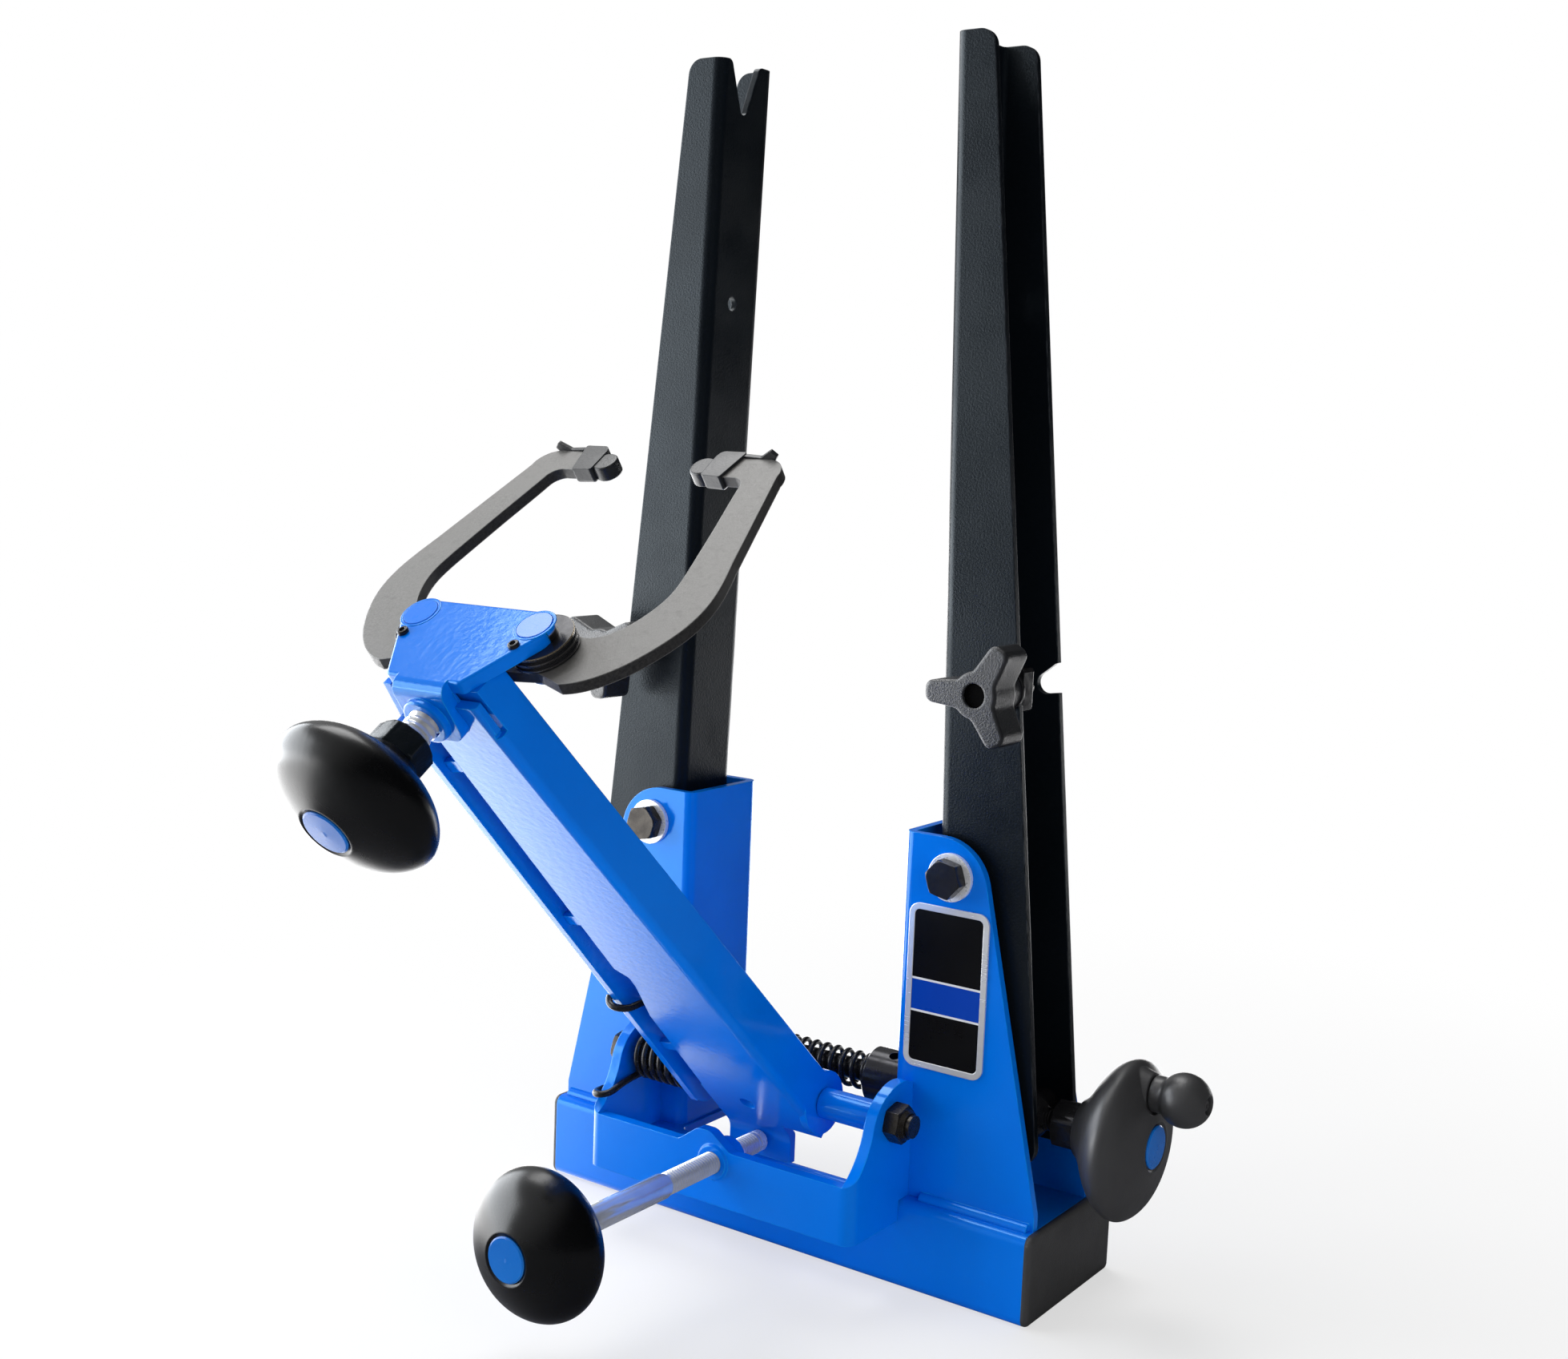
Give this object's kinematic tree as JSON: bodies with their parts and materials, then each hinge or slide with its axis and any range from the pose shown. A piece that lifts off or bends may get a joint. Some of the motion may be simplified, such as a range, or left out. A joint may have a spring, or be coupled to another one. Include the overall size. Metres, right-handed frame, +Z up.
{
  "type": "bicycle wheel truing stand",
  "caption": "Bench wheel truing stand: notched uprights on a flanged base, centring screw with crank grip, and a hinged arm with rim calipers.",
  "frame": {"origin": "centre of the base channel's bench face", "axes": "+X to the main knob, +Y to the open back of the base, +Z up"},
  "size_m": [0.311, 0.3382, 0.5123],
  "materials": {
    "blue_paint": "glossy powder coat",
    "spacer_blue": "glossy powder coat",
    "black_plastic": "moulded, satin",
    "upright_black": "satin black powder coat",
    "label": "bright rim, printed field",
    "zinc": "bright zinc plated",
    "dark_zinc": "plated steel",
    "friction_nylon": "nylon",
    "spring_black": "black coated spring wire",
    "star_black": "moulded, satin",
    "black_oxide": "black oxide",
    "gloss_black": "polished phenolic",
    "blue_inset": "printed disc",
    "caliper_steel": "textured grey coat",
    "clip_plastic": "moulded plastic"
  },
  "bodies": {
    "base": {"base_channel": "blue_paint", "end_cap_right": "black_plastic", "end_cap_left": "black_plastic", "bracket_right": "blue_paint", "bracket_left": "blue_paint", "yoke": "blue_paint", "label_plate": "label", "pivot_bolt_right": "dark_zinc", "pivot_bolt_left": "dark_zinc", "pivot_nut_right": "zinc", "pivot_nut_left": "zinc", "front_washer_right": "zinc", "front_washer_left": "zinc", "rear_washer_right": "zinc", "rear_washer_left": "zinc", "friction_washer_right": "friction_nylon", "friction_washer_left": "friction_nylon", "arm_pivot_bolt": "dark_zinc", "arm_pivot_nut": "zinc", "spacer_tube": "spacer_blue", "arm_spring": "spring_black"},
    "right_upright": {"upright_right": "upright_black", "star_washer_right": "black_oxide", "clamp_nut_right": "black_oxide"},
    "left_upright": {"upright_left": "upright_black", "star_washer_left": "black_oxide", "clamp_nut_left": "black_oxide"},
    "right_star_knob": {"star_knob_right": "star_black", "star_stud_right": "dark_zinc"},
    "left_star_knob": {"star_knob_left": "star_black", "star_stud_left": "dark_zinc"},
    "rod_float": {"rod_spring": "spring_black"},
    "drive": {"drive_rod": "black_oxide", "shaft_collar": "black_oxide", "main_knob": "gloss_black", "main_inset": "blue_inset"},
    "grip": {"crank_grip": "gloss_black"},
    "right_trunnion": {"trunnion_right": "black_oxide"},
    "left_trunnion": {"trunnion_left": "black_oxide"},
    "arm": {"arm_body": "blue_paint", "arm_side_plate": "blue_paint", "head_plate": "blue_paint", "caliper_pin_right": "dark_zinc", "caliper_pin_left": "dark_zinc", "spacer_stack_right": "black_oxide", "spacer_stack_left": "black_oxide", "head_screw_right": "black_oxide", "head_screw_left": "black_oxide"},
    "right_caliper": {"caliper_right": "caliper_steel", "finger_clip_right": "clip_plastic"},
    "left_caliper": {"caliper_left": "caliper_steel", "finger_clip_left": "clip_plastic"},
    "caliper_cone": {"caliper_nose": "zinc"},
    "caliper_drive": {"caliper_screw": "zinc", "caliper_knob": "gloss_black", "caliper_inset": "blue_inset"},
    "lower_tip": {"lower_nose": "zinc"},
    "lower_drive": {"lower_screw": "zinc", "lower_knob": "gloss_black", "lower_inset": "blue_inset"}
  },
  "joints": [
    {"name": "drive_turn", "type": "hinge", "parent": "rod_float", "child": "drive", "pos_m": [0, -0.00475, 0.0761], "axis": [1, 0, 0], "range_deg": [-580, 1445]},
    {"name": "right_upright_swing", "type": "hinge", "parent": "base", "child": "right_upright", "pos_m": [0.0786, -0.00475, 0.1764], "axis": [0, 1, 0], "range_deg": [-2.29, 5.74]},
    {"name": "left_upright_swing", "type": "hinge", "parent": "base", "child": "left_upright", "pos_m": [-0.0786, -0.00475, 0.1764], "axis": [0, 1, 0], "range_deg": [-5.9, 2.4]},
    {"name": "rod_rise", "type": "slide", "parent": "base", "child": "rod_float", "axis": [0, 0, 1], "range_m": [-0.0022, 0.001]},
    {"name": "right_nut_travel", "type": "slide", "parent": "rod_float", "child": "right_trunnion", "axis": [1, 0, 0], "range_m": [-0.0106, 0.0044]},
    {"name": "left_nut_travel", "type": "slide", "parent": "rod_float", "child": "left_trunnion", "axis": [1, 0, 0], "range_m": [-0.0044, 0.0106]},
    {"name": "grip_spin", "type": "hinge", "parent": "drive", "child": "grip", "pos_m": [0.161, -0.00475, 0.098], "axis": [1, 0, 0], "continuous": true},
    {"name": "right_star_turn", "type": "hinge", "parent": "right_upright", "child": "right_star_knob", "pos_m": [0.0956, -0.0371, 0.2543], "axis": [0, 1, 0], "range_deg": [0, 360]},
    {"name": "left_star_turn", "type": "hinge", "parent": "left_upright", "child": "left_star_knob", "pos_m": [-0.0956, -0.0371, 0.2543], "axis": [0, 1, 0], "range_deg": [0, 360]},
    {"name": "arm_swing", "type": "hinge", "parent": "base", "child": "arm", "pos_m": [0, -0.0461, 0.0745], "axis": [1, 0, 0], "range_deg": [-13.9, 24.85], "deforming": ["arm_spring"]},
    {"name": "lower_turn", "type": "hinge", "parent": "lower_tip", "child": "lower_drive", "pos_m": [-0.004, -0.0981, 0.0478], "axis": [0, 1, 0], "range_deg": [-1475, 2635]},
    {"name": "lower_advance", "type": "slide", "parent": "base", "child": "lower_tip", "axis": [0, 1, 0], "range_m": [-0.0067, 0.0119]},
    {"name": "right_caliper_swing", "type": "hinge", "parent": "arm", "child": "right_caliper", "pos_m": [0.0266, -0.2253, 0.2855], "axis": [0, -0.5878, 0.809], "range_deg": [-8.1, 7.6]},
    {"name": "left_caliper_swing", "type": "hinge", "parent": "arm", "child": "left_caliper", "pos_m": [-0.0266, -0.2253, 0.2855], "axis": [0, -0.5878, 0.809], "range_deg": [-7.6, 8.1]},
    {"name": "cone_advance", "type": "slide", "parent": "arm", "child": "caliper_cone", "axis": [0, 0.809, 0.5878], "range_m": [-0.0044, 0.0041]},
    {"name": "caliper_turn", "type": "hinge", "parent": "caliper_cone", "child": "caliper_drive", "pos_m": [0, -0.24973, 0.25107], "axis": [0, 0.809, 0.5878], "range_deg": [-1015, 950]}
  ],
  "couplings": [
    {"joint": "drive_turn", "follows": "right_upright_swing", "ratio": 250.83},
    {"joint": "left_upright_swing", "follows": "right_upright_swing", "ratio": -1},
    {"joint": "rod_rise", "follows": "right_upright_swing", "m_per_rad": -0.0212},
    {"joint": "right_nut_travel", "follows": "right_upright_swing", "m_per_rad": -0.1014},
    {"joint": "left_nut_travel", "follows": "right_upright_swing", "m_per_rad": 0.1014},
    {"joint": "lower_turn", "follows": "arm_swing", "ratio": 105.68},
    {"joint": "lower_advance", "follows": "arm_swing", "m_per_rad": 0.0267},
    {"joint": "right_caliper_swing", "follows": "caliper_turn", "ratio": 0.007853},
    {"joint": "left_caliper_swing", "follows": "caliper_turn", "ratio": -0.007853},
    {"joint": "cone_advance", "follows": "caliper_turn", "m_per_rad": 0.00023873}
  ]
}
